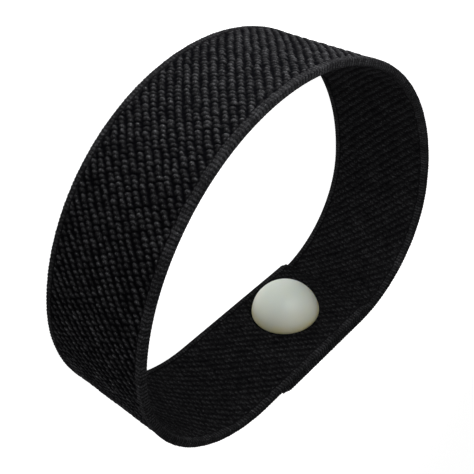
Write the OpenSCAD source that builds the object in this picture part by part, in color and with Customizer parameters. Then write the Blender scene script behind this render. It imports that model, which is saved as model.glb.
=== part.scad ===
// ESD wrist band: a closed loop of woven elastic whose two ends lap over each
// other and are clamped by a hollow rivet. A plastic dome covers the rivet on
// the skin side, and a snap stud for the ground lead sits on the outer side.
// The band stands on one edge: +Z runs across its width, the lap is at -Y.

/* [Band] */
// Width of the woven band
band_w = 16; // [12:0.5:25]
// Thickness of the woven band
band_t = 1.05; // [0.9:0.05:1.6]
// Width of the smooth selvedge strip along each edge
selvedge_w = 0.8; // [0.6:0.05:1.2]
// Width of the groove between the selvedge and the twill
groove_w = 0.3; // [0.2:0.05:0.5]
// Depth of that groove in each face
groove_d = 0.16; // [0.05:0.01:0.25]
// Bevel on the four long corners of the band
edge_bevel = 0.22; // [0.1:0.02:0.35]

/* [Loop] */
// Clear depth inside the relaxed loop, from the lap to the far side
loop_depth = 41.9; // [38:0.1:60]
// Flat stretch from the loop's reference line to the right hand bend
flat_right = 13.1; // [12:0.1:20]
// Flat stretch from the loop's reference line to the left hand bend
flat_left = 7.9; // [6:0.1:14]
// Middle radius of the right hand bend
bend_right_r = 15.8; // [12:0.1:18]
// Middle radius of the left hand bend
bend_left_r = 17.8; // [14:0.1:20]

/* [Lap] */
// How far the inner end runs on round the right hand bend
inner_tail_len = 2.1; // [1:0.1:4]
// How far the outer end runs to the left of the loop's reference line
outer_tail_len = 4.6; // [1:0.1:5.5]
// Gap left between the two layers of the lap
lap_gap = 0.04; // [0.02:0.01:0.2]
// Rounding of the free face of each cut end, where it was pressed down
end_round_r = 0.5; // [0.2:0.05:0.8]

/* [Rubber threads] */
// Side of one square cut rubber thread
thread_side = 0.5; // [0.3:0.05:0.6]
// Distance from one rubber thread to the next
thread_pitch = 1.35; // [1:0.01:1.6]
// Clearance of a rubber thread in its tunnel, on each side
thread_play = 0.03; // [0.02:0.01:0.05]

/* [Rivet] */
// Place of the rivet along the lap, from the loop's reference line
rivet_x = 6.8; // [6:0.1:8]
// How far the rivet sits below the middle of the width
rivet_drop = 1.1; // [0:0.1:1.4]
// Outside diameter of the hollow rivet
post_d = 2.6; // [2.2:0.05:2.8]
// Wall of the hollow rivet
post_wall = 0.3; // [0.2:0.05:0.4]
// Diameter of the rivet's flange
flange_d = 7.2; // [6.5:0.1:8]
// Thickness of the rivet's flange
flange_t = 0.45; // [0.3:0.05:0.7]
// Diameter to which the rivet's end is flared
flare_d = 3.1; // [3:0.02:3.16]
// Height of the flare
flare_h = 0.3; // [0.2:0.05:0.45]

/* [Washers] */
// Diameter of the washer under the dome
inner_washer_d = 6.2; // [5:0.1:6.5]
// Diameter of the washer under the stud
outer_washer_d = 8.4; // [7:0.1:9]
// Thickness of both washers
washer_t = 0.35; // [0.2:0.05:0.5]

/* [Dome] */
// Diameter of the dome where it meets the band
dome_d = 9.9; // [9:0.1:11]
// Height of the dome above the band
dome_h = 4.5; // [3:0.1:5]
// Opening in the lip that holds the rivet's flange
lip_d = 6.7; // [6.6:0.05:6.9]

/* [Snap stud] */
// Diameter of the stud's base
base_d = 7.8; // [6:0.1:8.4]
// Thickness of the stud's base
base_t = 0.5; // [0.4:0.05:0.8]
// Diameter of the stud's neck
neck_d = 3.3; // [3.3:0.02:3.4]
// Length of the neck
neck_len = 0.9; // [0.7:0.05:1.4]
// Diameter of the head that the lead's socket snaps over
head_d = 3.9; // [3.8:0.02:4.1]
// Length of the head's straight land
head_land = 1; // [0.8:0.05:1.4]
// Rounding of the head's nose
nose_r = 0.6; // [0.4:0.05:0.65]
// Wall of the hollow head
head_wall = 0.35; // [0.3:0.01:0.36]
// Hole in the head's nose
nose_hole_d = 2.2; // [1.6:0.1:2.4]

/* [Fits] */
// Radial clearance of the rivet in the band, washers and stud
post_play = 0.05; // [0.03:0.01:0.08]
// Clearance of the flange in the dome's pocket
pocket_play = 0.05; // [0.03:0.01:0.1]

/* [Hidden] */
$fn = 96;
cut = 1;

// Middle lines of the two layers of the lap
layer_step = band_t + lap_gap;
inner_y = layer_step / 2;
outer_y = -layer_step / 2;
skin_face_y = inner_y + band_t / 2;
lead_face_y = outer_y - band_t / 2;
lap_stack = skin_face_y - lead_face_y;

// Centres of the bends: the right bend joins the outer layer, the left bend the inner one
right_c = [flat_right, outer_y + bend_right_r];
left_c = [-flat_left, inner_y + bend_left_r];

// The far circle touches both bends from outside and reaches the far side of the loop
far_y = skin_face_y + loop_depth + band_t / 2;
right_drop = far_y - bend_right_r;
left_drop = far_y - bend_left_r;
right_k = 1 / (2 * (right_c.y - right_drop));
left_k = 1 / (2 * (left_c.y - left_drop));
quad_a = right_k - left_k;
quad_b = -2 * (right_c.x * right_k - left_c.x * left_k);
quad_c = (right_c * right_c - right_drop * right_drop) * right_k
    - (left_c * left_c - left_drop * left_drop) * left_k;
root_gap = sqrt(quad_b * quad_b - 4 * quad_a * quad_c);
// Of the two circles, the one whose centre lies between the bends
far_x = -2 * quad_c / (quad_b + sign(quad_b) * root_gap);
far_c = [
    far_x,
    (far_x * far_x - 2 * right_c.x * far_x + right_c * right_c - right_drop * right_drop) * right_k
];
far_r = far_y - far_c.y;

// Angles at which the far bow meets the two bends
right_join = atan2(right_c.y - far_c.y, right_c.x - far_c.x);
left_join = (atan2(left_c.y - far_c.y, left_c.x - far_c.x) + 360) % 360;
tail_deg = inner_tail_len / (bend_right_r - layer_step) * 180 / PI;

// Rubber threads lie side by side between the two grooves
twill_w = band_w - 2 * (selvedge_w + groove_w);
thread_count = floor((twill_w - thread_side - 2 * thread_play) / thread_pitch) + 1;
thread_z = [
    for (i = [0:thread_count - 1]) band_w / 2 + (i - (thread_count - 1) / 2) * thread_pitch
];

// Rivet stack
rivet_z = band_w / 2 - rivet_drop;
post_hole_d = post_d + 2 * post_play;
head_flare = (head_d - neck_d) / 2;
base_top = washer_t + base_t;
neck_top = base_top + neck_len;
land_start = neck_top + head_flare;
land_end = land_start + head_land;
nose_top = land_end + nose_r;
seat_h = land_start;
head_hole_d = head_d - 2 * head_wall;

// The frame's origin: middle of the whole part's box, at the lower edge of the band
mid_x = (far_c.x + far_r + left_c.x - bend_left_r) / 2;
mid_y = (far_y + band_t / 2 + lead_face_y - nose_top) / 2;

module placed() {
    translate([-mid_x, -mid_y, 0]) children();
}

// Cross section of the woven band, across X and up Y, with tunnels for the rubber
module band_outline() {
    half = band_t / 2;
    low = selvedge_w;
    high = selvedge_w + groove_w;
    side = [
        [half - edge_bevel, 0], [half, edge_bevel],
        [half, low], [half - groove_d, low + groove_w / 4],
        [half - groove_d, high - groove_w / 4], [half, high],
        [half, band_w - high], [half - groove_d, band_w - high + groove_w / 4],
        [half - groove_d, band_w - low - groove_w / 4], [half, band_w - low],
        [half, band_w - edge_bevel], [half - edge_bevel, band_w]
    ];
    last = len(side) - 1;
    polygon(concat(side, [for (i = [0:last]) [-side[last - i].x, side[last - i].y]]));
}

module thread_row(side) {
    for (z = thread_z)
        translate([-side / 2, z - side / 2]) square(side);
}

module weave_section() {
    difference() {
        band_outline();
        thread_row(thread_side + 2 * thread_play);
    }
}

// Runs of one cross section: straight along X, or round a centre
module straight_run(from_x, to_x, y) {
    translate([from_x, y, 0])
        rotate([90, 0, 90])
            linear_extrude(to_x - from_x) children();
}

module arc_run(centre, radius, from_deg, to_deg) {
    translate([centre.x, centre.y, 0])
        rotate([0, 0, from_deg])
            rotate_extrude(angle = to_deg - from_deg)
                translate([radius, 0]) children();
}

module inner_end_run() {
    straight_run(-flat_left, flat_right, inner_y) children();
    arc_run(right_c, bend_right_r - layer_step, -90, -90 + tail_deg) children();
}

module outer_end_run() {
    straight_run(-outer_tail_len, flat_right, outer_y) children();
}

module left_bend_run() {
    arc_run(left_c, bend_left_r, left_join, 270) children();
}

module right_bend_run() {
    arc_run(right_c, bend_right_r, -90, right_join) children();
}

module far_bow_run() {
    arc_run(far_c, far_r, right_join, left_join) children();
}

// Hole punched through both layers, and the threads in it, for the rivet
module rivet_hole() {
    on_lead_face()
        translate([0, 0, -lap_stack - cut]) cylinder(h = lap_stack + 2 * cut, d = post_hole_d);
}

// What the rounding takes off a cut end: the end is at X = 0, the free face at Y = 0, and
// the band lies towards +X and -Y
module end_rounding() {
    difference() {
        translate([-cut, -end_round_r, -cut])
            cube([end_round_r + cut, end_round_r + cut, band_w + 2 * cut]);
        translate([end_round_r, -end_round_r, -2 * cut])
            cylinder(h = band_w + 4 * cut, r = end_round_r);
    }
}

module on_inner_cut() {
    translate([right_c.x, right_c.y, 0])
        rotate([0, 0, tail_deg])
            translate([0, -(bend_right_r - layer_step - band_t / 2), 0])
                mirror([1, 0, 0]) children();
}

module on_outer_cut() {
    translate([-outer_tail_len, lead_face_y, 0]) mirror([0, 1, 0]) children();
}

// Faces that the rivet's pieces stand on, each with +Z away from the band
module on_skin_face() {
    translate([rivet_x, skin_face_y, rivet_z]) rotate([-90, 0, 0]) children();
}

module on_lead_face() {
    translate([rivet_x, lead_face_y, rivet_z]) rotate([90, 0, 0]) children();
}

module ring(outer_d, inner_d, height) {
    difference() {
        cylinder(h = height, d = outer_d);
        translate([0, 0, -cut]) cylinder(h = height + 2 * cut, d = inner_d);
    }
}

module band_inner_end() {
    color("#26262a") placed() difference() {
        inner_end_run() weave_section();
        rivet_hole();
        on_inner_cut() end_rounding();
    }
}

module band_outer_end() {
    color("#2c2c30") placed() difference() {
        outer_end_run() weave_section();
        rivet_hole();
        on_outer_cut() end_rounding();
    }
}

module band_left_bend() {
    color("#242428") placed() left_bend_run() weave_section();
}

module band_right_bend() {
    color("#28282c") placed() right_bend_run() weave_section();
}

module band_far_bow() {
    color("#303034") placed() far_bow_run() weave_section();
}

module rubber_inner_end() {
    color("#55504a") placed() difference() {
        inner_end_run() thread_row(thread_side);
        rivet_hole();
        on_inner_cut() end_rounding();
    }
}

module rubber_outer_end() {
    color("#55504a") placed() difference() {
        outer_end_run() thread_row(thread_side);
        rivet_hole();
        on_outer_cut() end_rounding();
    }
}

module rubber_left_bend() {
    color("#55504a") placed() left_bend_run() thread_row(thread_side);
}

module rubber_right_bend() {
    color("#55504a") placed() right_bend_run() thread_row(thread_side);
}

module rubber_far_bow() {
    color("#55504a") placed() far_bow_run() thread_row(thread_side);
}

// Moulded dome: part of a ball, with a pocket and a lip that hold the rivet's flange
module rivet_dome() {
    ball_r = (dome_d * dome_d / 4 + dome_h * dome_h) / (2 * dome_h);
    color("#dfe2d8") placed() on_skin_face() difference() {
        translate([0, 0, dome_h - ball_r]) sphere(r = ball_r);
        translate([0, 0, -2 * ball_r]) cylinder(h = 2 * ball_r, d = 3 * dome_d);
        translate([0, 0, -cut]) cylinder(h = washer_t + cut, d = lip_d);
        translate([0, 0, washer_t - pocket_play])
            cylinder(h = flange_t + 2 * pocket_play, d = flange_d + 2 * pocket_play);
    }
}

// Hollow rivet: flange in the dome, tube through both layers, end flared in the stud
module hollow_rivet() {
    bottom = -lap_stack - washer_t - flange_t;
    inner_r = post_d / 2 - post_wall;
    flare_out = (flare_d - post_d) / 2;
    flare_low = seat_h + pocket_play;
    color("#c8c8c4") placed() on_lead_face() rotate_extrude() polygon([
        [inner_r, bottom], [flange_d / 2, bottom], [flange_d / 2, bottom + flange_t],
        [post_d / 2, bottom + flange_t], [post_d / 2, flare_low],
        [flare_d / 2, flare_low + flare_out], [flare_d / 2, flare_low + flare_h],
        [flare_d / 2 - post_wall, flare_low + flare_h], [inner_r, flare_low]
    ]);
}

module inner_washer() {
    color("#b9b9b4") placed() on_skin_face() ring(inner_washer_d, post_hole_d, washer_t);
}

module outer_washer() {
    color("#b9b9b4") placed() on_lead_face() ring(outer_washer_d, post_hole_d, washer_t);
}

// Snap stud: base, neck and hollow head with a rounded nose
module snap_stud() {
    color("#d2d2ce") placed() on_lead_face() difference() {
        rotate_extrude() union() {
            polygon([
                [0, washer_t], [base_d / 2, washer_t], [base_d / 2, base_top],
                [neck_d / 2, base_top], [neck_d / 2, neck_top], [head_d / 2, land_start],
                [head_d / 2, land_end], [head_d / 2 - nose_r, nose_top], [0, nose_top]
            ]);
            intersection() {
                translate([head_d / 2 - nose_r, land_end]) circle(r = nose_r);
                translate([head_d / 2 - nose_r, land_end]) square(nose_r);
            }
        }
        translate([0, 0, -cut]) cylinder(h = seat_h + 2 * cut, d = post_hole_d);
        translate([0, 0, seat_h]) cylinder(h = land_end - seat_h, d = head_hole_d);
        translate([0, 0, seat_h]) cylinder(h = nose_top, d = nose_hole_d);
    }
}

band_inner_end();
band_outer_end();
band_left_bend();
band_right_bend();
band_far_bow();
rubber_inner_end();
rubber_outer_end();
rubber_left_bend();
rubber_right_bend();
rubber_far_bow();
rivet_dome();
hollow_rivet();
inner_washer();
outer_washer();
snap_stud();
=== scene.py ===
import math

import bpy
import numpy as np
from mathutils import Matrix, Vector


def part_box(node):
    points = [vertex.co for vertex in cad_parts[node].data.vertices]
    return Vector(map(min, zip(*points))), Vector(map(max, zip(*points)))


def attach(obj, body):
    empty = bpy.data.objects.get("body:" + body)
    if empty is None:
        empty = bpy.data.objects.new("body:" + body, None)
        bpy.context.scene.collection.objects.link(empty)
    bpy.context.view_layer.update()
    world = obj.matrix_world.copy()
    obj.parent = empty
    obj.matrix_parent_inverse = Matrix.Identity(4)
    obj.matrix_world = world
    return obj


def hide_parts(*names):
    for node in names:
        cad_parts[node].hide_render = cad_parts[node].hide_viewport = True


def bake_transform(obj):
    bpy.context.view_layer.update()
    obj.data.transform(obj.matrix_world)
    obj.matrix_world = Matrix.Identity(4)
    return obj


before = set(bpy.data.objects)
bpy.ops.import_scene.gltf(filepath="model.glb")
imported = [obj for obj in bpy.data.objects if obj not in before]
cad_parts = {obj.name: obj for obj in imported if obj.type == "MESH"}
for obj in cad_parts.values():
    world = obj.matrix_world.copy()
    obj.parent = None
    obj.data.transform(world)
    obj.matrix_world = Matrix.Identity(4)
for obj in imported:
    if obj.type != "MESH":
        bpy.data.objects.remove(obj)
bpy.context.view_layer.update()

mm = 0.001
print("frame loaded:", len(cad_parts), "nodes")

# camera first: a lens a little longer than normal, rolled so that the loop stands on a corner
cameraSetup = {
    "place": (-56.247, 63.272, 62.513),       # mm
    "forward": (0.53738, -0.63005, -0.56059),
    "right": (0.66902, -0.08622, 0.73823),
    "lens": 59.716,                           # mm
    "sensor": 36.0,                           # mm
    "clip": (0.005, 5),                       # m
}


def makeCamera():
    forward = Vector(cameraSetup["forward"]).normalized()
    right = Vector(cameraSetup["right"]).normalized()
    up = right.cross(forward)
    data = bpy.data.cameras.new("camera")
    data.lens = cameraSetup["lens"]
    data.sensor_width = cameraSetup["sensor"]
    data.clip_start, data.clip_end = cameraSetup["clip"]
    camera = bpy.data.objects.new("camera", data)
    bpy.context.scene.collection.objects.link(camera)
    camera.matrix_world = Matrix((
        (right.x, up.x, -forward.x, cameraSetup["place"][0] * mm),
        (right.y, up.y, -forward.y, cameraSetup["place"][1] * mm),
        (right.z, up.z, -forward.z, cameraSetup["place"][2] * mm),
        (0, 0, 0, 1),
    ))
    bpy.context.scene.camera = camera


makeCamera()
print("camera placed")

# from the outer cut end to the right, round the loop and back over the lap to the inner cut
# end; lengths in mm
loop = {
    "clearDepth": 41.9,      # inside the relaxed loop
    "flatRight": 13.1,       # flat stretches from the loop's reference line
    "flatLeft": 7.9,
    "bendRight": 15.8,       # middle radii of the two bends
    "bendLeft": 17.8,
    "innerTail": 2.1,        # how far the inner end runs on round the right bend
}

outerLow, outerHigh = (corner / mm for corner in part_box("band_outer_end"))
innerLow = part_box("band_inner_end")[0] / mm
bandWidth = outerHigh.z - outerLow.z
bandThick = outerHigh.y - outerLow.y
lapGap = innerLow.y - outerHigh.y
layerStep = bandThick + lapGap
outerTail = outerHigh.x - outerLow.x - loop["flatRight"]
# the reference line and the face between the layers, in the frame
originX = outerLow.x + outerTail
originY = outerHigh.y + lapGap / 2


def farCircle(rightCentre, leftCentre, farY):
    # the circle that holds both bends inside it and touches the far line; its centre is as far
    # from a bend's centre as from a line that lies the bend's radius short of the far line
    rightLine = farY - loop["bendRight"]
    leftLine = farY - loop["bendLeft"]
    rightK = 0.5 / (rightCentre[1] - rightLine)
    leftK = 0.5 / (leftCentre[1] - leftLine)
    rightRest = rightCentre @ rightCentre - rightLine ** 2
    leftRest = leftCentre @ leftCentre - leftLine ** 2
    a = rightK - leftK
    b = -2 * (rightCentre[0] * rightK - leftCentre[0] * leftK)
    c = rightRest * rightK - leftRest * leftK
    x = -2 * c / (b + math.copysign(math.sqrt(b * b - 4 * a * c), b))
    y = (x * x - 2 * rightCentre[0] * x + rightRest) * rightK
    return np.array([x, y]), farY - y


def makePath():
    # straight stretches have a start, bent ones a centre, a radius and the angle they start at
    rightCentre = np.array([loop["flatRight"], loop["bendRight"] - layerStep / 2])
    leftCentre = np.array([-loop["flatLeft"], loop["bendLeft"] + layerStep / 2])
    farY = layerStep / 2 + bandThick + loop["clearDepth"]
    farCentre, farRadius = farCircle(rightCentre, leftCentre, farY)
    rightJoin = math.atan2(*(rightCentre - farCentre)[::-1])
    leftJoin = math.atan2(*(leftCentre - farCentre)[::-1]) % (2 * math.pi)
    down = -math.pi / 2
    stretches = {
        "outer_end": {"start": (-outerTail, -layerStep / 2),
                      "length": outerTail + loop["flatRight"]},
        "right_bend": {"centre": rightCentre, "radius": loop["bendRight"], "angle": down,
                       "length": (rightJoin - down) * loop["bendRight"]},
        "far_bow": {"centre": farCentre, "radius": farRadius, "angle": rightJoin,
                    "length": (leftJoin - rightJoin) * farRadius},
        "left_bend": {"centre": leftCentre, "radius": loop["bendLeft"], "angle": leftJoin,
                      "length": (3 * math.pi / 2 - leftJoin) * loop["bendLeft"]},
        "inner_end": {"start": (-loop["flatLeft"], layerStep / 2),
                      "length": loop["flatLeft"] + loop["flatRight"]},
        "inner_tail": {"centre": rightCentre, "radius": loop["bendRight"] - layerStep,
                       "angle": down, "length": loop["innerTail"]},
    }
    at = 0.0
    for stretch in stretches.values():
        stretch["from"] = at
        at += stretch["length"]
        stretch["to"] = at
    return stretches


path = makePath()
stripLength = path["inner_tail"]["to"]


def pathPoint(s):
    # places and outward directions at distances s along the middle line, in mm, in the frame
    slack = 1e-6             # mm, so that no point on a border is left out
    xy = np.zeros((len(s), 2))
    out = np.zeros((len(s), 2))
    for stretch in path.values():
        here = (s >= stretch["from"] - slack) & (s <= stretch["to"] + slack)
        along = s[here] - stretch["from"]
        if "radius" in stretch:
            angle = stretch["angle"] + along / stretch["radius"]
            out[here] = np.stack([np.cos(angle), np.sin(angle)], 1)
            xy[here] = stretch["centre"] + stretch["radius"] * out[here]
        else:
            out[here] = (0, -1)
            xy[here] = np.array(stretch["start"]) + np.stack([along, 0 * along], 1)
    return xy + (originX, originY), out


# the rivet's place from the reference line, and where it goes through the strip
rivetLow, rivetHigh = (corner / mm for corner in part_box("hollow_rivet"))
rivetX = (rivetLow.x + rivetHigh.x) / 2 - originX
rivetZ = (rivetLow.z + rivetHigh.z) / 2
rivetAxis = Vector(((originX + rivetX) * mm, 0, rivetZ * mm))
holeRadius = 1.35            # mm, the rivet's post with its play
holes = {
    "outer_end": path["outer_end"]["from"] + outerTail + rivetX,
    "inner_end": path["inner_end"]["from"] + loop["flatLeft"] + rivetX,
}

# the two joins where the bends meet the far bow: their distances along the strip and their places
# in the frame
joins = np.array([path["right_bend"]["to"], path["left_bend"]["from"]])
joinRight, joinLeft = pathPoint(joins)[0]
print("strip laid out: %.1f mm from end to end" % stripLength)


def linear(hexColour):
    # sRGB hex to the linear colour that a shader takes
    parts = [int(hexColour[i:i + 2], 16) / 255 for i in (1, 3, 5)]
    return tuple(c / 12.92 if c <= 0.04045 else ((c + 0.055) / 1.055) ** 2.4 for c in parts) + (1,)


def newMaterial(name):
    material = bpy.data.materials.new(name)
    material.use_nodes = True
    material.node_tree.nodes.clear()
    return material, material.node_tree


def addNode(tree, kind, settings=None, inputs=None, shades=()):
    # one node with its settings; an input is a value or the socket that feeds it, and the
    # shades of a colour ramp are its stops, each a place and a hex colour
    node = tree.nodes.new(kind)
    for key, value in (settings or {}).items():
        setattr(node, key, value)
    for key, value in (inputs or {}).items():
        if isinstance(value, bpy.types.NodeSocket):
            tree.links.new(value, node.inputs[key])
        else:
            node.inputs[key].default_value = value
    if shades:
        stops = node.color_ramp.elements
        while len(stops) < len(shades):
            stops.new(0.5)
        for stop, (place, colour) in zip(stops, shades):
            stop.position = place
            stop.color = linear(colour)
    return node


def perMetre(millimetres):
    # noise scale whose pattern repeats about every so many millimetres
    return 1 / (millimetres * mm)


# textured polyester yarn, woven: near black and dull, with painted shade in the hollows and
# painted sheen and glints on the tops of the floats
yarn = {
    # from the painted shade at the bottom of the hollows up to a painted glint: share of the way,
    # colour
    "shades": (
        (0.06, "#08080a"),   # painted shade between the ridges, where the light doesn't get back out
        (0.3, "#1b1b1c"),
        (0.56, "#3b3b3d"),   # painted sheen on the tops of the floats
        (1.0, "#79797b"),    # painted glint of single filaments that lie flat to the light
    ),
    "shadeRange": (0.3, 1.5),    # what the base and all gains come to at the ends of that way
    "base": 0.165,
    "heightGain": 0.75,      # from the painted shade of a hollow to the painted sheen on top of a float
    "patch": 3.0,            # mm, dye variation along and across
    "patchGain": 0.22,
    "grain": 0.17,           # mm, unevenness of the yarn within a float
    "hollowGrainGain": 0.1,
    "topGrainGain": 1.25,
    "glint": 0.11,           # mm, painted glints of single filaments that catch the light
    "glintRange": (0.62, 0.8),
    "glintGain": 0.8,
    "filament": 0.05,        # mm, drawn coarser than the real 0.02 so that it shows
    "filamentBump": 0.6,
    "filamentHeight": 0.03,  # mm
    "roughness": 0.7,
    "roughnessSpread": 0.16,
    "ior": 1.5,
    "specular": 0.0,         # the loose filaments give no clear highlight
    "sheen": 0.01,
    "sheenRoughness": 0.3,
}


def makeWovenPolyester():
    material, tree = newMaterial("woven_polyester")
    place = addNode(tree, "ShaderNodeTexCoord")
    ridge = addNode(tree, "ShaderNodeAttribute", {"attribute_name": "ridge"})
    patch = addNode(tree, "ShaderNodeTexNoise", {}, {
        "Vector": place.outputs["Object"], "Scale": perMetre(yarn["patch"]), "Detail": 3.0})
    grain = addNode(tree, "ShaderNodeTexNoise", {}, {
        "Vector": place.outputs["Object"], "Scale": perMetre(yarn["grain"]), "Detail": 2.0})
    filament = addNode(tree, "ShaderNodeTexNoise", {}, {
        "Vector": place.outputs["Object"], "Scale": perMetre(yarn["filament"]), "Detail": 2.0})
    glint = addNode(tree, "ShaderNodeTexNoise", {}, {
        "Vector": place.outputs["Object"], "Scale": perMetre(yarn["glint"]), "Detail": 1.0})
    # painted glints, which come up only on the tops of the floats
    peak = addNode(tree, "ShaderNodeMapRange", {}, {
        "Value": glint.outputs["Fac"], "From Min": yarn["glintRange"][0],
        "From Max": yarn["glintRange"][1], "To Max": yarn["glintGain"]})
    sway = addNode(tree, "ShaderNodeMath", {"operation": "MULTIPLY_ADD"}, {
        0: patch.outputs["Fac"], 1: yarn["patchGain"], 2: yarn["base"]})
    centred = addNode(tree, "ShaderNodeMath", {"operation": "SUBTRACT"}, {
        0: grain.outputs["Fac"], 1: 0.5})
    # the grain shows on the tops of the floats and is lost in the hollows
    gain = addNode(tree, "ShaderNodeMath", {"operation": "MULTIPLY_ADD"}, {
        0: ridge.outputs["Fac"], 1: yarn["topGrainGain"] - yarn["hollowGrainGain"],
        2: yarn["hollowGrainGain"]})
    lift = addNode(tree, "ShaderNodeMath", {"operation": "MULTIPLY_ADD"}, {
        0: centred.outputs[0], 1: gain.outputs[0], 2: sway.outputs[0]})
    lit = addNode(tree, "ShaderNodeMath", {"operation": "MULTIPLY_ADD"}, {
        0: peak.outputs[0], 1: ridge.outputs["Fac"], 2: lift.outputs[0]})
    # painted shade and sheen: the colour darkens into the hollows and lightens on the tops of the
    # floats
    shade = addNode(tree, "ShaderNodeMath", {"operation": "MULTIPLY_ADD"}, {
        0: ridge.outputs["Fac"], 1: yarn["heightGain"], 2: lit.outputs[0]})
    level = addNode(tree, "ShaderNodeMapRange", {}, {
        "Value": shade.outputs[0], "From Min": yarn["shadeRange"][0],
        "From Max": yarn["shadeRange"][1]})
    ramp = addNode(tree, "ShaderNodeValToRGB", {}, {"Fac": level.outputs[0]}, yarn["shades"])
    bump = addNode(tree, "ShaderNodeBump", {}, {
        "Height": filament.outputs["Fac"], "Strength": yarn["filamentBump"],
        "Distance": yarn["filamentHeight"] * mm})
    rough = addNode(tree, "ShaderNodeMath", {"operation": "MULTIPLY_ADD"}, {
        0: filament.outputs["Fac"], 1: yarn["roughnessSpread"],
        2: yarn["roughness"] - yarn["roughnessSpread"] / 2})
    skin = addNode(tree, "ShaderNodeBsdfPrincipled", {}, {
        "Base Color": ramp.outputs["Color"], "Roughness": rough.outputs[0],
        "Normal": bump.outputs["Normal"], "IOR": yarn["ior"],
        "Specular IOR Level": yarn["specular"], "Sheen Weight": yarn["sheen"],
        "Sheen Roughness": yarn["sheenRoughness"]})
    addNode(tree, "ShaderNodeOutputMaterial", {}, {"Surface": skin.outputs[0]})
    return material


# natural rubber, calendered and cut square: dull, dusted with talc, sawn sides
rubber = {
    "shades": (
        (0.35, "#8a7d68"),   # bare rubber
        (0.7, "#b3a993"),    # talc
    ),
    "dustPatch": 0.8,        # mm
    "cutMark": 0.09,         # mm
    "cutBump": 0.5,
    "cutHeight": 0.02,       # mm
    "roughness": 0.8,
    "ior": 1.52,
}


def makeCutRubber():
    material, tree = newMaterial("cut_natural_rubber")
    place = addNode(tree, "ShaderNodeTexCoord")
    dust = addNode(tree, "ShaderNodeTexNoise", {}, {
        "Vector": place.outputs["Object"], "Scale": perMetre(rubber["dustPatch"]), "Detail": 4.0})
    marks = addNode(tree, "ShaderNodeTexNoise", {}, {
        "Vector": place.outputs["Object"], "Scale": perMetre(rubber["cutMark"]), "Detail": 2.0})
    ramp = addNode(tree, "ShaderNodeValToRGB", {}, {"Fac": dust.outputs["Fac"]}, rubber["shades"])
    bump = addNode(tree, "ShaderNodeBump", {}, {
        "Height": marks.outputs["Fac"], "Strength": rubber["cutBump"],
        "Distance": rubber["cutHeight"] * mm})
    skin = addNode(tree, "ShaderNodeBsdfPrincipled", {}, {
        "Base Color": ramp.outputs["Color"], "Roughness": rubber["roughness"],
        "Normal": bump.outputs["Normal"], "IOR": rubber["ior"]})
    addNode(tree, "ShaderNodeOutputMaterial", {}, {"Surface": skin.outputs[0]})
    return material


# natural polypropylene, injection moulded: milky, semi-gloss, yellower towards the thin rim
milky = {
    # share of the way from the rim to the crown, colour
    "shades": (
        (0.04, "#ecdfa6"),
        (0.3, "#e4e5d4"),
        (0.85, "#e1e8df"),
    ),
    "cloud": 2.4,            # mm, cloudiness in the moulding
    "cloudGain": 0.22,
    "peel": 0.35,            # mm, soft orange peel
    "peelBump": 0.25,
    "peelHeight": 0.02,      # mm
    "roughness": 0.42,
    "ior": 1.49,
    "scatter": 0.6,
    "scatterDepth": 2.2,     # mm
    "scatterTint": (1.0, 0.85, 0.6),
}


def makeMilkyPolypropylene(low, high):
    # low and high are the heights of the rim and the crown along Y, in metres
    material, tree = newMaterial("moulded_polypropylene")
    place = addNode(tree, "ShaderNodeTexCoord")
    parts = addNode(tree, "ShaderNodeSeparateXYZ", {}, {0: place.outputs["Object"]})
    rise = addNode(tree, "ShaderNodeMapRange", {}, {
        "Value": parts.outputs["Y"], "From Min": low, "From Max": high})
    cloud = addNode(tree, "ShaderNodeTexNoise", {}, {
        "Vector": place.outputs["Object"], "Scale": perMetre(milky["cloud"]), "Detail": 2.0})
    drift = addNode(tree, "ShaderNodeMath", {"operation": "MULTIPLY_ADD"}, {
        0: cloud.outputs["Fac"], 1: milky["cloudGain"], 2: -milky["cloudGain"] / 2})
    shade = addNode(tree, "ShaderNodeMath", {"operation": "ADD", "use_clamp": True}, {
        0: rise.outputs[0], 1: drift.outputs[0]})
    ramp = addNode(tree, "ShaderNodeValToRGB", {}, {"Fac": shade.outputs[0]}, milky["shades"])
    peel = addNode(tree, "ShaderNodeTexNoise", {}, {
        "Vector": place.outputs["Object"], "Scale": perMetre(milky["peel"]), "Detail": 1.0})
    bump = addNode(tree, "ShaderNodeBump", {}, {
        "Height": peel.outputs["Fac"], "Strength": milky["peelBump"],
        "Distance": milky["peelHeight"] * mm})
    skin = addNode(tree, "ShaderNodeBsdfPrincipled", {}, {
        "Base Color": ramp.outputs["Color"], "Roughness": milky["roughness"],
        "Normal": bump.outputs["Normal"], "IOR": milky["ior"],
        "Subsurface Weight": milky["scatter"], "Subsurface Radius": milky["scatterTint"],
        "Subsurface Scale": milky["scatterDepth"] * mm})
    addNode(tree, "ShaderNodeOutputMaterial", {}, {"Surface": skin.outputs[0]})
    return material


# nickel plate on drawn brass or steel: bright, with the faint rings of the drawing tool
nickel = {
    "shades": (
        (0.35, "#a8a49b"),   # dulled
        (0.6, "#c9c6bf"),
    ),
    "stain": 1.6,            # mm
    "ringPitch": 0.12,       # mm, drawn coarse enough to show
    "ringBump": 0.12,
    "ringHeight": 0.01,      # mm
    "roughness": 0.24,
    "roughnessSpread": 0.2,
}


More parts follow.
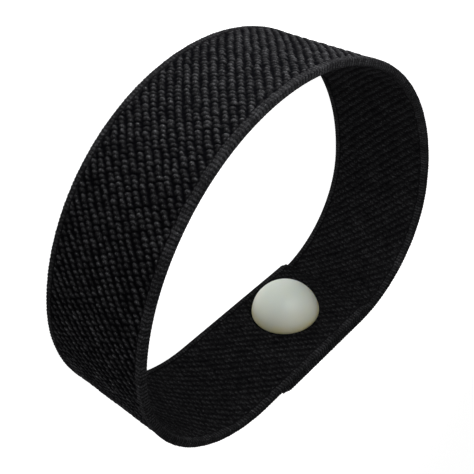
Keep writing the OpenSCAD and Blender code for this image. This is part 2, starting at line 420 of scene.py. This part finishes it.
def makeNickelPlate():
    material, tree = newMaterial("nickel_plated_drawn_metal")
    place = addNode(tree, "ShaderNodeTexCoord")
    # rings round the rivet's axis, which runs along Y
    arm = addNode(tree, "ShaderNodeVectorMath", {"operation": "SUBTRACT"}, {
        0: place.outputs["Object"], 1: rivetAxis})
    flat = addNode(tree, "ShaderNodeVectorMath", {"operation": "MULTIPLY"}, {
        0: arm.outputs[0], 1: (1, 0, 1)})
    radius = addNode(tree, "ShaderNodeVectorMath", {"operation": "LENGTH"}, {0: flat.outputs[0]})
    rings = addNode(tree, "ShaderNodeMath", {"operation": "MULTIPLY"}, {
        0: radius.outputs["Value"], 1: 2 * math.pi * perMetre(nickel["ringPitch"])})
    wave = addNode(tree, "ShaderNodeMath", {"operation": "SINE"}, {0: rings.outputs[0]})
    stain = addNode(tree, "ShaderNodeTexNoise", {}, {
        "Vector": place.outputs["Object"], "Scale": perMetre(nickel["stain"]), "Detail": 4.0})
    ramp = addNode(tree, "ShaderNodeValToRGB", {}, {"Fac": stain.outputs["Fac"]}, nickel["shades"])
    bump = addNode(tree, "ShaderNodeBump", {}, {
        "Height": wave.outputs[0], "Strength": nickel["ringBump"],
        "Distance": nickel["ringHeight"] * mm})
    rough = addNode(tree, "ShaderNodeMath", {"operation": "MULTIPLY_ADD"}, {
        0: stain.outputs["Fac"], 1: nickel["roughnessSpread"],
        2: nickel["roughness"] - nickel["roughnessSpread"] / 2})
    skin = addNode(tree, "ShaderNodeBsdfPrincipled", {}, {
        "Base Color": ramp.outputs["Color"], "Metallic": 1.0, "Roughness": rough.outputs[0],
        "Normal": bump.outputs["Normal"]})
    addNode(tree, "ShaderNodeOutputMaterial", {}, {"Surface": skin.outputs[0]})
    return material


materials = {
    "webbing": makeWovenPolyester(),
    "rubber": makeCutRubber(),
    "metal": makeNickelPlate(),
}
print("materials made")

# lengths in mm
weave = {
    "pick": 0.46,            # from one weft to the next, along the band
    "end": 0.4404,           # from one warp end to the next, across it
    "ridgeSteps": 3,         # ends up and picks back, together, from one ridge to the next
    "samplesPerPick": 5,
    "samplesPerEnd": 4,
    "rimPoints": 3,          # over half of the rim, and round its corner
    "stripPoints": 5,        # over the selvedge, and over the furrow
    "pieceFaces": 96000,     # a stretch with more is built as several pieces
    "selvedge": 0.8,         # smooth strip along each edge
    "selvedgeStray": 0.1,    # how far its border strays
    "groove": 0.3,           # furrow between the selvedge and the twill
    "grooveDepth": 0.12,
    "grooveStart": 0.4,      # share of the furrow's width in which it reaches its depth
    "twillStart": 0.5,       # last share of that width, in which the twill comes up
    "cornerRound": 0.26,
    "ribDepth": 0.09,        # ribs where the weft turns round the edge
    "ribRound": 0.8,         # power of their round: lower is flatter on top
    "ribUneven": 0.4,
    "ribInner": 0.35,        # share of their depth that is left at the corner towards the wrist
    "ribFade": (0.1, 0.5),   # from how far off the inner face, and within what, they get whole
    "outerDepth": 0.26,      # hollows between the floats on the outer face
    "innerDepth": 0.2,
    "floatSpan": 0.565,      # half size of a float along its ridge, as a share of their distance
    "floatReach": 0.5,       # and across the ridge
    "floatStray": (0.12, 0.11),  # shares that it strays and, below, that its size varies, both
    "floatVary": (0.12, 0.2),    # along the ridge and across it
    "floatRound": (3.6, 2.4, 0.8),   # powers of its round along, across and as a whole
    "lean": 0.42,            # each float is higher on the side where it comes out of the cloth
    "leanFrom": 0.6,
    "scale": 0.55,           # the floats' ends are curved, like scales
    "unevenness": 0.28,
    "wander": 0.03,          # how far the rows stray, in a slow and a quick wave
    "slowWave": (0.9, 2.2, 0.31),    # radians per mm of height, of swing, of swing per mm along
    "quickWave": (1.7, 0.6),         # radians per mm along and per mm of height
    "hollowShade": 1.1,      # how quickly the light fades into the outer hollows
    "innerShade": (0.25, 0.46),  # the inner face is smoother: its hollows and what floats add
    "edgeShade": (0.32, 0.45),   # the same for the selvedge and its ribs
    "grooveShade": 0.6,      # share of the light that the furrow loses
    "outerPress": (1.8, 0.75),   # length over which the cut end was pressed, share of the
    "innerPress": (1.2, 0.6),    # thickness that it lost
    "pressFlat": 0.6,        # share of the weave's depth that it lost
    "seed": 16,
    "seedGrid": (419, 97, 5),    # floats along, floats across, values for each
}


def smooth(t):
    t = np.clip(t, 0, 1)
    return t * t * (3 - 2 * t)


def makeSection():
    # half the band's outline, from the middle of the lower edge over the outer face to the
    # middle of the upper one: offset and height of each point, then those of its normal
    half, corner = bandThick / 2, weave["cornerRound"]
    first = weave["selvedge"] + weave["groove"]
    rows = round((bandWidth - 2 * first) / weave["end"] * weave["samplesPerEnd"])
    quarter = [(n, 0.0, 0.0, -1.0) for n in np.linspace(0, half - corner, weave["rimPoints"])]
    for a in np.radians(np.linspace(-90, 0, weave["rimPoints"] + 2)[1:-1]):
        quarter.append((half - corner + corner * math.cos(a), corner + corner * math.sin(a),
                        math.cos(a), math.sin(a)))
    heights = list(np.linspace(corner, weave["selvedge"], weave["stripPoints"]))
    heights += list(np.linspace(weave["selvedge"], first, weave["stripPoints"])[1:])
    quarter += [(half, z, 1.0, 0.0) for z in heights]
    face = [(half, z, 1.0, 0.0) for z in np.linspace(first, bandWidth - first, rows + 1)[1:-1]]
    other = [(n, bandWidth - z, dn, -dz) for n, z, dn, dz in quarter[::-1]]
    return np.array(quarter + face + other)


def floatHeight(s, z, seeds):
    # twill: each float sits one pick on and one end up from the last, and the next ridge
    # starts two ends up and one pick back; 1 on top of a float, 0 in the hollows
    across = (z / weave["end"] - s / weave["pick"]) / weave["ridgeSteps"]
    along = s / weave["pick"] + across
    height = np.zeros(s.shape)
    for stepAlong in (-1, 0, 1):
        for stepAcross in (-1, 0, 1):
            i = np.round(along).astype(int) + stepAlong
            j = np.round(across).astype(int) + stepAcross
            seed = seeds[i % seeds.shape[0], j % seeds.shape[1]]
            x = along - i - weave["floatStray"][0] * seed[..., 0]
            y = across - j - weave["floatStray"][1] * seed[..., 1]
            x /= weave["floatSpan"] * (1 + weave["floatVary"][0] * seed[..., 2])
            y /= weave["floatReach"] * (1 + weave["floatVary"][1] * seed[..., 3])
            x -= weave["scale"] * y * y
            swell = 1 - np.abs(x) ** weave["floatRound"][0] - np.abs(y) ** weave["floatRound"][1]
            swell = np.clip(swell, 0, 1) ** weave["floatRound"][2]
            swell *= np.clip(1 + weave["lean"] * (y - x - weave["leanFrom"]), 0, 1)
            height = np.maximum(height, swell * (1 - weave["unevenness"] * np.abs(seed[..., 4])))
    return height


def ribHeight(turn, z, seeds):
    # a rib for each turn of the weft: 1 on top of it, 0 between two
    upper = (z > bandWidth / 2).astype(int)
    seed = seeds[np.floor(turn).astype(int) % len(seeds), upper, 0]
    rib = np.abs(np.sin(math.pi * turn)) ** weave["ribRound"]
    return rib * (1 - weave["ribUneven"] * np.abs(seed))


def weaveRelief(s, z, n):
    # how deep each point lies below the cloth's smooth form, in mm, and its height on the floats
    # and ribs, 0 to 1, which gives the yarn painted shade in the hollows and painted sheen on the
    # tops
    seeds = np.random.default_rng(weave["seed"]).uniform(-1, 1, weave["seedGrid"])
    perHeight, swing, swingRate = weave["slowWave"]
    slow = np.sin(perHeight * z + swing * np.sin(swingRate * s))
    quick = np.sin(weave["quickWave"][0] * s + weave["quickWave"][1] * z)
    strayed = s + (weave["wander"] * slow + weave["wander"] * quick)
    outerFloat = floatHeight(strayed, z, seeds)
    innerFloat = floatHeight(strayed, z, seeds[::-1])
    rib = ribHeight(strayed / weave["pick"], z, seeds)

    # how much of a point lies in the twill, how much in the furrow beside it
    border = np.interp(s, np.arange(len(seeds)) * weave["pick"], seeds[:, 0, 1])
    inward = np.minimum(z, bandWidth - z) + weave["selvedgeStray"] * border - weave["selvedge"]
    twillWidth = weave["twillStart"] * weave["groove"]
    inTwill = smooth((inward - (weave["groove"] - twillWidth)) / twillWidth)
    inGroove = smooth(inward / (weave["grooveStart"] * weave["groove"])) * (1 - inTwill)

    # the weft turns lie flatter at the corner towards the wrist
    fadeStart, fadeWidth = weave["ribFade"]
    outward = smooth((n + bandThick / 2 - fadeStart) / fadeWidth)
    ribDepth = weave["ribDepth"] * (weave["ribInner"] + (1 - weave["ribInner"]) * outward)
    floatDepth = np.where(n > 0, weave["outerDepth"] * (1 - outerFloat),
                          weave["innerDepth"] * (1 - innerFloat))
    depth = inTwill * floatDepth + (1 - inTwill) * ribDepth * (1 - rib)
    depth += inGroove * weave["grooveDepth"]

    # painted shade: lower on the floats and ribs and in the furrow is darker, higher is lighter
    floatShade = np.where(n > 0, outerFloat ** weave["hollowShade"],
                          weave["innerShade"][0] + weave["innerShade"][1] * innerFloat)
    edgeShade = weave["edgeShade"][0] + weave["edgeShade"][1] * rib
    edgeShade *= 1 - weave["grooveShade"] * inGroove
    return depth, inTwill * floatShade + (1 - inTwill) * edgeShade


def endPressure(s):
    # 1 at a cut end, 0 beyond the stretch that was pressed: outer end, inner end
    return (1 - smooth(s / weave["outerPress"][0]),
            1 - smooth((stripLength - s) / weave["innerPress"][0]))


def pressed(offset, s):
    # pressing moves the free face towards the other, which stays where it is
    outer, inner = endPressure(s)
    lift = weave["outerPress"][1] * (offset + bandThick / 2)
    sink = weave["innerPress"][1] * (bandThick / 2 - offset)
    return offset + sink * inner - lift * outer


def gridNormals(points):
    # smooth normals of the whole strip, so that no seam shows where its pieces meet
    along = np.gradient(points, axis=0)
    around = np.roll(points, -1, axis=1) - np.roll(points, 1, axis=1)
    normals = np.cross(along, around)
    return normals / np.maximum(np.linalg.norm(normals, axis=2, keepdims=True), 1e-12)


def makeStripGrid():
    # the whole strip as one grid: a column for each step along it, a ring of points round it
    halfRing = makeSection()
    back = halfRing[-2:0:-1] * (-1, 1, -1, 1)
    ring = np.concatenate([halfRing, back])
    step = weave["pick"] / weave["samplesPerPick"]
    columns = []
    for stretch in path.values():
        count = max(2, round(stretch["length"] / step))
        columns += list(np.linspace(stretch["from"], stretch["to"], count, endpoint=False))
    columns = np.array(columns + [stripLength])
    s, z = np.meshgrid(columns, ring[:, 1], indexing="ij")
    n, dn, dz = (np.broadcast_to(ring[:, k], s.shape) for k in (0, 2, 3))
    depth, ridge = weaveRelief(s, z, n)
    depth *= 1 - weave["pressFlat"] * np.maximum(*endPressure(s))
    offset = pressed(n - dn * depth, s)
    xy, out = pathPoint(columns)
    points = np.empty(s.shape + (3,))
    points[..., :2] = xy[:, None, :] + out[:, None, :] * offset[..., None]
    points[..., 2] = z - dz * depth
    return {"columns": columns, "ring": ring, "points": points, "ridge": ridge,
            "normals": gridNormals(points)}


def buildMesh(name, verts, faces, material, smoothShade=True):
    mesh = bpy.data.meshes.new(name)
    mesh.from_pydata([tuple(v) for v in verts], [], faces)
    mesh.materials.append(material)
    mesh.polygons.foreach_set("use_smooth", [smoothShade] * len(mesh.polygons))
    piece = bpy.data.objects.new(name, mesh)
    bpy.context.scene.collection.objects.link(piece)
    return piece


def punchHole(first, last, holeAt):
    # moves the points inside the rivet's hole out to its rim, and gives the quads that the
    # hole takes away, by column and row
    alongHole = strip["columns"][first:last + 1, None] - holeAt
    acrossHole = strip["ring"][None, :, 1] - rivetZ
    distance = np.hypot(alongHole, acrossHole)
    onFace = strip["ring"][None, :, 3] == 0
    inside = (distance < holeRadius) & onFace
    beside = np.roll(inside, -1, axis=1)
    gone = inside[:-1] & inside[1:] & beside[:-1] & beside[1:]
    for column, row in np.argwhere(inside):
        near = max(distance[column, row], 1e-6)
        x = originX + rivetX + alongHole[column, 0] / near * holeRadius
        strip["points"][first + column, row, 0] = x
        strip["points"][first + column, row, 2] = rivetZ + acrossHole[0, row] / near * holeRadius
    return gone


# where a woven piece's faces lie in its UV map, which is one unit high
unwrap = {
    "sides": 0.94,           # height that the faces and edges of the cloth take
    "starts": 0.955,         # foot of the cut across its start
    "ends": 0.98,            # and across its end
    "cutHeight": 0.015,
    "wall": (0.996, 0.999),  # foot and head of the hole's wall
    "wallStep": 0.001,       # width of each of its quads
}


def sideFaces(index, kept):
    # the quads that are kept of the cloth's faces and edges, and their corners in the UV map
    size = index.shape[1]
    nextRing = np.roll(index, -1, axis=1)
    quads = np.stack([index[:-1], index[1:], nextRing[1:], nextRing[:-1]], -1)
    u = np.broadcast_to(np.arange(len(index))[:, None] / (len(index) - 1), index.shape)
    v = np.broadcast_to(np.arange(size) / size * unwrap["sides"], quads.shape[:2])
    step = unwrap["sides"] / size
    left = np.stack([u[:-1], v], -1)
    right = np.stack([u[1:], v], -1)
    corners = np.stack([left, right, right + (0, step), left + (0, step)], 2)
    return quads[kept].tolist(), corners[kept].reshape(-1, 2).tolist()


def holeWall(index, kept, verts):
    # quads that join the two faces of the cloth all round the hole, their normals and corners
    size = index.shape[1]
    axis = np.array([originX + rivetX, rivetZ])
    low, high = unwrap["wall"]
    faces, normals, corners = [], [], []
    for column, row in np.argwhere(~kept[:, :size // 2]):
        front = [index[column, row], index[column + 1, row],
                 index[column + 1, row + 1], index[column, row + 1]]
        back = [index[column, size - row], index[column + 1, size - row],
                index[column + 1, size - row - 1], index[column, size - row - 1]]
        beside = [(column, row - 1), (column + 1, row), (column, row + 1), (column - 1, row)]
        for k, neighbour in enumerate(beside):
            if kept[neighbour]:
                following = (k + 1) % 4
                wall = (front[k], front[following], back[following], back[k])
                faces.append([int(v) for v in wall])
                for v in wall:
                    inward = axis - verts[v][[0, 2]]
                    inward = inward / np.linalg.norm(inward)
                    normals.append([inward[0], 0, inward[1]])
                left = unwrap["wallStep"] * k
                right = left + unwrap["wallStep"]
                corners += [(left, low), (right, low), (right, high), (left, high)]
    return faces, normals, corners


def cutAcross(index, verts, column, turn, foot):
    # quads that close the strip at one column, their normals and corners; turn is 1 where the
    # piece starts and -1 where it ends
    size = index.shape[1]
    thickness = verts[index[column, 1]] - verts[index[column, -1]]
    facing = np.cross((0, 0, 1), thickness)
    facing = tuple(facing / np.linalg.norm(facing) * turn)
    faces, normals, corners = [], [], []
    for k in range(size // 2):
        quad = [index[column, k], index[column, k + 1],
                index[column, (size - k - 1) % size], index[column, (size - k) % size]]
        cut = list(dict.fromkeys(int(v) for v in quad))[::turn]
        faces.append(cut)
        normals += [facing] * len(cut)
        rows = [v % size for v in cut]
        corners += [(row / size, foot + unwrap["cutHeight"] * (row > size // 2)) for row in rows]
    return faces, normals, corners


def bandPiece(name, first, last, holeAt=None):
    # the columns from first to last as a closed piece of its own
    size = len(strip["ring"])
    index = np.arange((last - first + 1) * size).reshape(-1, size)
    kept = np.ones((last - first, size), bool)
    if holeAt is not None:
        kept = ~punchHole(first, last, holeAt)
    verts = strip["points"][first:last + 1].reshape(-1, 3)
    faces, corners = sideFaces(index, kept)
    normals = strip["normals"][first:last + 1].reshape(-1, 3)[np.array(faces).ravel()].tolist()
    for moreFaces, moreNormals, moreCorners in (
            holeWall(index, kept, verts),
            cutAcross(index, verts, 0, 1, unwrap["starts"]),
            cutAcross(index, verts, last - first, -1, unwrap["ends"])):
        faces += moreFaces
        normals += moreNormals
        corners += moreCorners
    piece = buildMesh(name, verts * mm, faces, materials["webbing"])
    mesh = piece.data
    mesh.normals_split_custom_set(normals)
    mesh.uv_layers.new(name="OFBake").data.foreach_set("uv", np.array(corners).ravel())
    mesh.attributes.new("ridge", "FLOAT", "POINT").data.foreach_set(
        "value", strip["ridge"][first:last + 1].ravel().astype(np.float32))
    return piece


def columnAt(s):
    return int(np.argmin(abs(strip["columns"] - s)))


def makeWovenStrip():
    # cut at the same places as the band's nodes; the tail belongs to the inner end
    for stretch in ("outer_end", "right_bend", "far_bow", "left_bend", "inner_end"):
        tail = "inner_tail" if stretch == "inner_end" else stretch
        first, last = columnAt(path[stretch]["from"]), columnAt(path[tail]["to"])
        parts = math.ceil((last - first) * len(strip["ring"]) / weave["pieceFaces"])
        borders = [first + (last - first) * k // parts for k in range(parts + 1)]
        for k in range(parts):
            name = "woven_" + stretch + ("_%d" % (k + 1) if parts > 1 else "")
            piece = bandPiece(name, borders[k], borders[k + 1], holes.get(stretch))
            if k == 0:
                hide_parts("band_" + stretch)
            if stretch in holes:
                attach(piece, "lap")
            else:
                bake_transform(piece)
            print(name, len(piece.data.polygons), "faces")


strip = makeStripGrid()
makeWovenStrip()

threads = {
    "side": 0.5,             # mm
    "pitch": 1.35,           # mm
    "count": 10,
    "step": 0.9,             # mm between rings
    "leastRings": 3,
    "sealed": 1.5,           # mm that they stop short of the pressed cut ends
    "holePlay": 0.1,         # mm that they stop short of the rivet's hole
}


def addThread(verts, faces, z, start, stop):
    # one run of square rubber at height z, closed at both ends
    count = max(threads["leastRings"], round((stop - start) / threads["step"]))
    s = np.linspace(start, stop, count)
    xy, out = pathPoint(s)
    half = threads["side"] / 2
    base = len(verts)
    for dn, dz in ((-1, -1), (1, -1), (1, 1), (-1, 1)):
        offset = pressed(dn * half * np.ones(count), s)
        verts += [(x, y, z + dz * half) for x, y in xy + out * offset[:, None]]
    corners = [base + side * count for side in range(4)]
    for i in range(count - 1):
        for side in range(4):
            a, b = corners[side] + i, corners[(side + 1) % 4] + i
            faces.append((a, a + 1, b + 1, b))
    faces.append(tuple(corners))
    faces.append(tuple(corner + count - 1 for corner in corners[::-1]))


def makeThreads():
    verts, faces = [], []
    for k in range(threads["count"]):
        z = bandWidth / 2 + (k - (threads["count"] - 1) / 2) * threads["pitch"]
        stops = [threads["sealed"], stripLength - threads["sealed"]]
        if abs(z - rivetZ) < holeRadius:
            cutHalf = math.sqrt(holeRadius ** 2 - (z - rivetZ) ** 2) + threads["holePlay"]
            stops += [at + side * cutHalf for at in holes.values() for side in (-1, 1)]
        stops = sorted(stops)
        for start, stop in zip(stops[::2], stops[1::2]):
            addThread(verts, faces, z, start, stop)
    piece = buildMesh("rubber_threads", np.array(verts) * mm, faces, materials["rubber"],
                      smoothShade=False)
    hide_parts("rubber_inner_end", "rubber_outer_end", "rubber_left_bend",
                "rubber_right_bend", "rubber_far_bow")
    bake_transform(piece)


makeThreads()
print("rubber threads laid")

# lengths in mm
dome = {
    "diameter": 9.9,
    "height": 4.5,
    "edge": 0.22,            # thin upright edge where the mould parts
    "edgeRound": 0.12,
    "edgePoints": (-60, 0, 3),   # first and last degree of the round, and its points
    "crownPoints": 40,
    "pocketRadius": 3.62,    # room for the rivet's flange
    "pocketHeight": 0.9,
    "lipRadius": 3.36,       # lip that grips the flange, with the washer inside it
    "lipHeight": 0.32,
    "sides": 128,
}


def arcPoints(centre, radius, fromDeg, toDeg, count):
    angles = np.radians(np.linspace(fromDeg, toDeg, count))
    return [(centre[0] + radius * math.cos(a), centre[1] + radius * math.sin(a)) for a in angles]


def turned(name, profile, baseY, material, sides):
    # a profile of (radius, height) points in mm, which starts and ends on the rivet's axis and
    # is turned about it; height is measured from baseY towards the wrist
    verts, faces = [], []
    count = len(profile) - 2
    for k in range(sides):
        angle = 2 * math.pi * k / sides
        for r, h in profile[1:-1]:
            verts.append(((originX + rivetX + r * math.cos(angle)) * mm,
                          (baseY + h) * mm, (rivetZ + r * math.sin(angle)) * mm))
    start, end = len(verts), len(verts) + 1
    for r, h in (profile[0], profile[-1]):
        verts.append(((originX + rivetX) * mm, (baseY + h) * mm, rivetZ * mm))
    for k in range(sides):
        here, there = k * count, (k + 1) % sides * count
        faces.append((start, there, here))
        for i in range(count - 1):
            faces.append((here + i, there + i, there + i + 1, here + i + 1))
        faces.append((here + count - 1, there + count - 1, end))
    return buildMesh(name, verts, faces, material)


def makeDome():
    low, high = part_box("rivet_dome")
    radius = dome["diameter"] / 2
    crown = dome["height"] - dome["edge"]
    ball = (radius ** 2 + crown ** 2) / (2 * crown)
    ballHeight = dome["height"] - ball
    startDeg = math.degrees(math.asin((dome["edge"] - ballHeight) / ball))
    foot = radius - dome["edgeRound"]
    profile = [
        (0, dome["pocketHeight"]),
        (dome["pocketRadius"], dome["pocketHeight"]),
        (dome["pocketRadius"], dome["lipHeight"]),
        (dome["lipRadius"], dome["lipHeight"]),
        (dome["lipRadius"], 0.0),
        (foot, 0.0),
    ]
    profile += arcPoints((foot, dome["edgeRound"]), dome["edgeRound"], *dome["edgePoints"])
    profile += arcPoints((0, ballHeight), ball, startDeg, 90, dome["crownPoints"])
    material = makeMilkyPolypropylene(low.y, high.y)
    piece = turned("moulded_dome", profile, low.y / mm, material, dome["sides"])
    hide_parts("rivet_dome")
    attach(piece, "lap")


def plateMetal():
    # the rivet, washers and stud show their own solids, plated
    for name in ("hollow_rivet", "inner_washer", "outer_washer", "snap_stud"):
        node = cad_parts[name]
        node.data.materials.clear()
        node.data.materials.append(materials["metal"])


makeDome()
plateMetal()
print("dome and snap finished")

studio = {
    "floorSize": 1.5,        # m
    "floorDrop": 0.02,       # mm below the band's lower edge, so that they don't touch
    "floorColour": "#dcdcdc",
    "floorGlow": 0.97,       # what the camera sees of the floor besides its own light
    "floorFill": 0.5,        # light that comes up through the paper, from the lit table
    "worldGlow": 1.0,        # the same two for the room
    "worldFill": 0.01,
    # place in mm, width in mm and power in W of each lamp: a small object close to its lamps
    "lamps": {
        "key": ((2, 46, 40), 50, 0.024),
        "low": ((25, 85, 8), 40, 0.058),
        "front": ((-110, -45, 50), 100, 0.045),
        "back": ((30, -110, 60), 100, 0.03),
    },
}
white = (1, 1, 1, 1)


def glowLevel(tree, fill, glow):
    # glow is what is seen of it, also mirrored in metal, and fill is the light that it gives
    rays = addNode(tree, "ShaderNodeLightPath")
    direct = addNode(tree, "ShaderNodeMath", {"operation": "MAXIMUM"}, {
        0: rays.outputs["Is Camera Ray"], 1: rays.outputs["Is Glossy Ray"]})
    either = addNode(tree, "ShaderNodeMath", {"operation": "MAXIMUM"}, {
        0: direct.outputs[0], 1: rays.outputs["Is Transmission Ray"]})
    level = addNode(tree, "ShaderNodeMapRange", {}, {
        "Value": either.outputs[0], "To Min": fill, "To Max": glow})
    return level.outputs[0]


def makeFloor():
    # matt white paper on a light table: pale all over, with only a faint shadow
    material, tree = newMaterial("paper_floor")
    shine = addNode(tree, "ShaderNodeEmission", {}, {
        "Color": white, "Strength": glowLevel(tree, studio["floorFill"], studio["floorGlow"])})
    paper = addNode(tree, "ShaderNodeBsdfDiffuse", {}, {"Color": linear(studio["floorColour"])})
    both = addNode(tree, "ShaderNodeAddShader", {}, {0: shine.outputs[0], 1: paper.outputs[0]})
    addNode(tree, "ShaderNodeOutputMaterial", {}, {"Surface": both.outputs[0]})
    half = studio["floorSize"] / 2
    sheet = [(-half, -half, 0), (half, -half, 0), (half, half, 0), (-half, half, 0)]
    floor = buildMesh("floor", sheet, [(0, 1, 2, 3)], material, smoothShade=False)
    floor.location.z = -studio["floorDrop"] * mm


def makeWorld():
    world = bpy.data.worlds.new("white_room")
    world.use_nodes = True
    tree = world.node_tree
    tree.nodes.clear()
    sky = addNode(tree, "ShaderNodeBackground", {}, {
        "Color": white, "Strength": glowLevel(tree, studio["worldFill"], studio["worldGlow"])})
    addNode(tree, "ShaderNodeOutputWorld", {}, {"Surface": sky.outputs[0]})
    bpy.context.scene.world = world


def addLamp(name, place, size, power):
    data = bpy.data.lights.new(name, "AREA")
    data.shape = "DISK"
    data.size = size * mm
    data.energy = power
    lamp = bpy.data.objects.new(name, data)
    lamp.visible_camera = False
    bpy.context.scene.collection.objects.link(lamp)
    lamp.location = Vector(place) * mm
    target = Vector((0, 0, bandWidth / 2 * mm))
    lamp.rotation_euler = (target - lamp.location).to_track_quat("-Z", "Y").to_euler()


makeFloor()
makeWorld()
for name, (place, size, power) in studio["lamps"].items():
    addLamp(name, place, size, power)
bpy.context.scene.view_settings.view_transform = "Standard"
print("studio ready")
